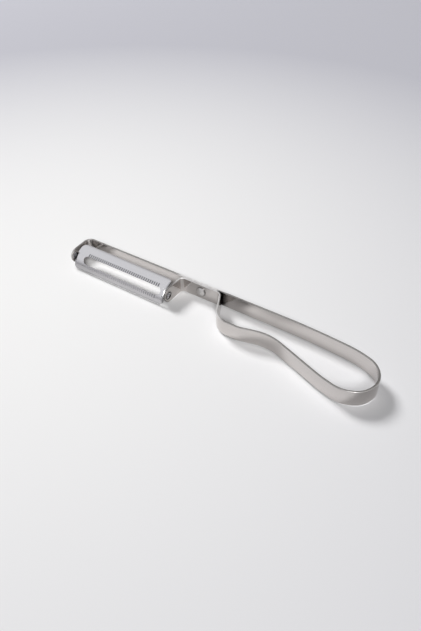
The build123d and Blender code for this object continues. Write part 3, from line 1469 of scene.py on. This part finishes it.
@dataclass
class LapRivet:
    """The domed rivet through the doubled strip."""

    head_radius: float = 2.7
    head_height: float = 1.3
    head_edge: float = 0.25
    foot_radius: float = 2.2
    foot_height: float = 0.35
    shank_radius: float = 1.5
    segments: int = 64

    def _profile(self, near: float, far: float) -> list[tuple[float, float, float, float, float]]:
        """The turned outline as radius, depth, the normal's two parts, and the rim mask, which also
        carries painted shade round the head's edge.

        Args:
            near: where the head sits, measured towards the viewer.
            far: where the foot sits.

        Returns:
            The rings from the dome's middle to the foot's middle.
        """
        rise = self.head_height - self.head_edge
        ball = (self.head_radius ** 2 + rise ** 2) / (2 * rise)
        widest = asin(self.head_radius / ball)
        rings = []
        for step in range(15):
            angle = widest * (step + 0.02) / 14.5
            depth = near + self.head_height - ball + ball * cos(angle)
            # the dome's last rings fade into the dark edge colour: painted shade round the head
            rim_mix = max(0.0, 0.3 * (step - 11))
            rings.append((ball * sin(angle), depth, sin(angle), cos(angle), rim_mix))
        edge, head_edge = self.head_radius, near + self.head_edge
        foot, low = self.foot_radius, far - self.foot_height
        flare = foot - self.foot_height
        return rings + [
            (edge - 0.03, head_edge + 0.03, 0.8, 0.6, 1.0),
            (edge, head_edge - 0.03, 1.0, 0.1, 1.0),
            (edge, near + 0.06, 1.0, 0.0, 1.0),
            (edge - 0.05, near, 0.5, -0.87, 1.0),
            (self.shank_radius, near, 0.3, -0.95, 0.0),
            (self.shank_radius, far, 0.3, 0.95, 0.0),
            (foot, far, 1.0, 0.0, 0.0),
            (foot, far - 0.05, 0.9, -0.4, 1.0),
            (flare + 0.04, low + 0.03, 0.7, -0.7, 1.0),
            (flare - 0.06, low, 0.1, -1.0, 1.0),
            (0.02, low, 0.0, -1.0, 0.0),
        ]

    def make(self, band: HandleBand, groups: NodeGroups) -> bpy.types.Object:
        """Builds and dresses the rivet.

        Args:
            band: the band that it holds together.
            groups: the shared node groups.

        Returns:
            The finished piece.
        """
        near = 2 * band.thickness + band.lap_clearance
        centre = band.origin + Vector((band.rivet_share * band.lap_length, 0, band.width / 2))
        rings = self._profile(near, 0)
        places, looks, rims, flats, faces = [], [], [], [], []
        for radius, depth, out, ahead, rim in rings:
            for segment in range(self.segments):
                angle = 2 * pi * segment / self.segments
                place = centre + Vector((radius * cos(angle), -depth, radius * sin(angle)))
                places.append(place * MM)
                looks.append(Vector((out * cos(angle), -ahead, out * sin(angle))).normalized())
                rims.append(rim)
                flats.append(Vector((radius * cos(angle), radius * sin(angle))))
        for ring in range(len(rings) - 1):
            for segment in range(self.segments):
                following = (segment + 1) % self.segments
                here, below = ring * self.segments, (ring + 1) * self.segments
                faces.append((below + segment, below + following, here + following, here + segment))
        last = (len(rings) - 1) * self.segments
        faces.append(tuple(range(self.segments)))
        faces.append(tuple(range(last, last + self.segments))[::-1])
        piece = finished_piece("LapRivet", places, faces, looks, flats, {"rim": rims})
        piece.data.materials.append(RIVET_STEEL.material(groups))
        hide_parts("rivet")
        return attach(piece, "band")


@dataclass
class Studio:
    """The plain pale floor, the soft light and the camera."""

    floor_size: float = 6.0
    floor_colour: Triple = (0.889, 0.885, 0.882)
    floor_far_colour: Triple = (0.40, 0.40, 0.46)
    floor_bright_spot: Triple = (-0.11, -0.03, 0.0)
    floor_fade: float = 0.60
    floor_fade_stop: float = 0.42
    key_direction: Triple = (-1.16, 0.4, 1.0)
    key_size: float = 1.25
    key_power: float = 150.0
    fill_direction: Triple = (0.72, -0.95, 1.0)
    fill_size: float = 1.2
    fill_power: float = 88.0
    lamp_distance: float = 4.0
    sky: float = 0.09
    mirrored_sky: float = 1.0
    backdrop: Triple = (0.66, 0.66, 0.69)
    floor_drop: float = 0.0005
    sky_colour: Triple = (0.97, 0.98, 1.0)
    sky_dark: Triple = (0.35, 0.34, 0.335)
    sky_low: Triple = (0.5, 0.495, 0.51)
    sky_low_to: float = 0.4
    sky_dark_from: float = 0.36
    sky_dark_to: float = 0.56
    eye: Triple = (0.12223, -0.16451, 0.18217)
    pitch: float = 41.41
    heading: float = 35.83
    roll: float = -2.13
    lens: float = 31.95

    @staticmethod
    def _eased(tree: Tree, value: Socket, low: float, high: float) -> Socket:
        """Eases a value from zero to one between two limits.

        Args:
            tree: the node tree.
            value: the value's socket.
            low: where the result is zero.
            high: where the result is one.

        Returns:
            The result's socket.
        """
        ease = tree.nodes.new("ShaderNodeMapRange")
        ease.interpolation_type = "SMOOTHSTEP"
        ease.inputs["From Min"].default_value = low
        ease.inputs["From Max"].default_value = high
        tree.links.new(value, ease.inputs["Value"])
        return ease.outputs[0]

    def _floor(self) -> None:
        """Lays the floor, no part of the peeler, whose colour darkens away from its lightest spot:
        a painted fall-off of the lamps' light.
        """
        half = self.floor_size / 2
        mesh = bpy.data.meshes.new("Floor")
        corners = [(-half, -half, 0), (half, -half, 0), (half, half, 0), (-half, half, 0)]
        mesh.from_pydata(corners, [], [(0, 1, 2, 3)])
        floor = bpy.data.objects.new("Floor", mesh)
        floor.location.z = -self.floor_drop
        bpy.context.scene.collection.objects.link(floor)
        paint = bpy.data.materials.new("PaleFloor")
        paint.use_nodes = True
        tree = paint.node_tree
        shader = tree.nodes["Principled BSDF"]
        shader.inputs["Roughness"].default_value = 0.8
        shader.inputs["Specular IOR Level"].default_value = 0.1
        # painted light: the floor's colour darkens away from floor_bright_spot, standing in for the
        # lamps' fall-off
        where = tree.nodes.new("ShaderNodeTexCoord")
        away = tree.nodes.new("ShaderNodeVectorMath")
        away.operation = "DISTANCE"
        away.inputs[1].default_value = self.floor_bright_spot
        tree.links.new(where.outputs["Object"], away.inputs[0])
        nearer = math_node(tree, "MINIMUM", away.outputs["Value"], self.floor_fade_stop)
        fade = self._eased(tree, nearer, 0.0, self.floor_fade)
        colour = mix_node(tree, fade, self.floor_colour, self.floor_far_colour)
        tree.links.new(colour, shader.inputs["Base Color"])
        mesh.materials.append(paint)

    def _lamp(self, name: str, direction: Triple, size: float, power: float) -> bpy.types.Object:
        """Hangs one round lamp that shines on the peeler.

        Args:
            name: the lamp's name.
            direction: where it hangs, seen from the peeler.
            size: its diameter.
            power: its power in watts.

        Returns:
            The lamp.
        """
        lamp = bpy.data.lights.new(name, "AREA")
        lamp.shape = "DISK"
        lamp.size = size
        lamp.energy = power
        holder = bpy.data.objects.new(name, lamp)
        way = Vector(direction).normalized()
        holder.location = way * self.lamp_distance
        holder.rotation_euler = way.to_track_quat("Z", "Y").to_euler()
        bpy.context.scene.collection.objects.link(holder)
        return holder

    def _light(self) -> None:
        """Hangs both lamps, and makes the sky that the steel mirrors."""
        self._lamp("Key", self.key_direction, self.key_size, self.key_power).visible_glossy = False
        self._lamp("Fill", self.fill_direction, self.fill_size, self.fill_power)
        world = bpy.data.worlds.new("Studio")
        bpy.context.scene.world = world
        world.use_nodes = True
        tree = world.node_tree
        background = tree.nodes["Background"]
        where = tree.nodes.new("ShaderNodeTexCoord")
        split = tree.nodes.new("ShaderNodeSeparateXYZ")
        tree.links.new(where.outputs["Generated"], split.inputs[0])
        behind = self._eased(tree, split.outputs["Y"], self.sky_dark_from, self.sky_dark_to)
        low = self._eased(tree, split.outputs["Z"], 0.0, self.sky_low_to)
        ahead = mix_node(tree, low, self.sky_low, self.sky_colour)
        colour = mix_node(tree, behind, ahead, self.sky_dark)
        path = tree.nodes.new("ShaderNodeLightPath")
        seen = mix_node(tree, path.outputs["Is Camera Ray"], colour, self.backdrop)
        tree.links.new(seen, background.inputs["Color"])
        mirrored = range_node(tree, path.outputs["Is Glossy Ray"], self.sky, self.mirrored_sky)
        strength = range_node(tree, path.outputs["Is Camera Ray"], 0.0, 1.0)
        strength = math_node(tree, "MAXIMUM", mirrored, strength)
        tree.links.new(strength, background.inputs["Strength"])

    def _camera(self) -> None:
        """Stands the camera where the photograph was taken from."""
        camera = bpy.data.cameras.new("Camera")
        camera.lens = self.lens
        camera.clip_start = 0.005
        holder = bpy.data.objects.new("Camera", camera)
        turn = Matrix.Rotation(radians(self.heading), 4, "Z")
        turn = turn @ Matrix.Rotation(radians(90 - self.pitch), 4, "X")
        turn = turn @ Matrix.Rotation(radians(self.roll), 4, "Z")
        holder.matrix_world = Matrix.Translation(self.eye) @ turn
        bpy.context.scene.collection.objects.link(holder)
        bpy.context.scene.camera = holder

    def make(self) -> None:
        """Sets the whole studio up."""
        bpy.context.scene.view_settings.view_transform = "Standard"
        self._floor()
        self._light()
        self._camera()


def main() -> None:
    """Builds the peeler piece by piece, and then the studio round it."""
    logging.basicConfig(level=logging.INFO, format="%(name)s: %(message)s")
    groups = NodeGroups()
    band = HandleBand()
    pieces = [band.make(groups), PeelingBlade().make(groups), LapRivet().make(band, groups)]
    for piece in pieces:
        LOG.info("%s has %d faces", piece.name, len(piece.data.polygons))
    Studio().make()


if __name__ == "__main__":
    main()
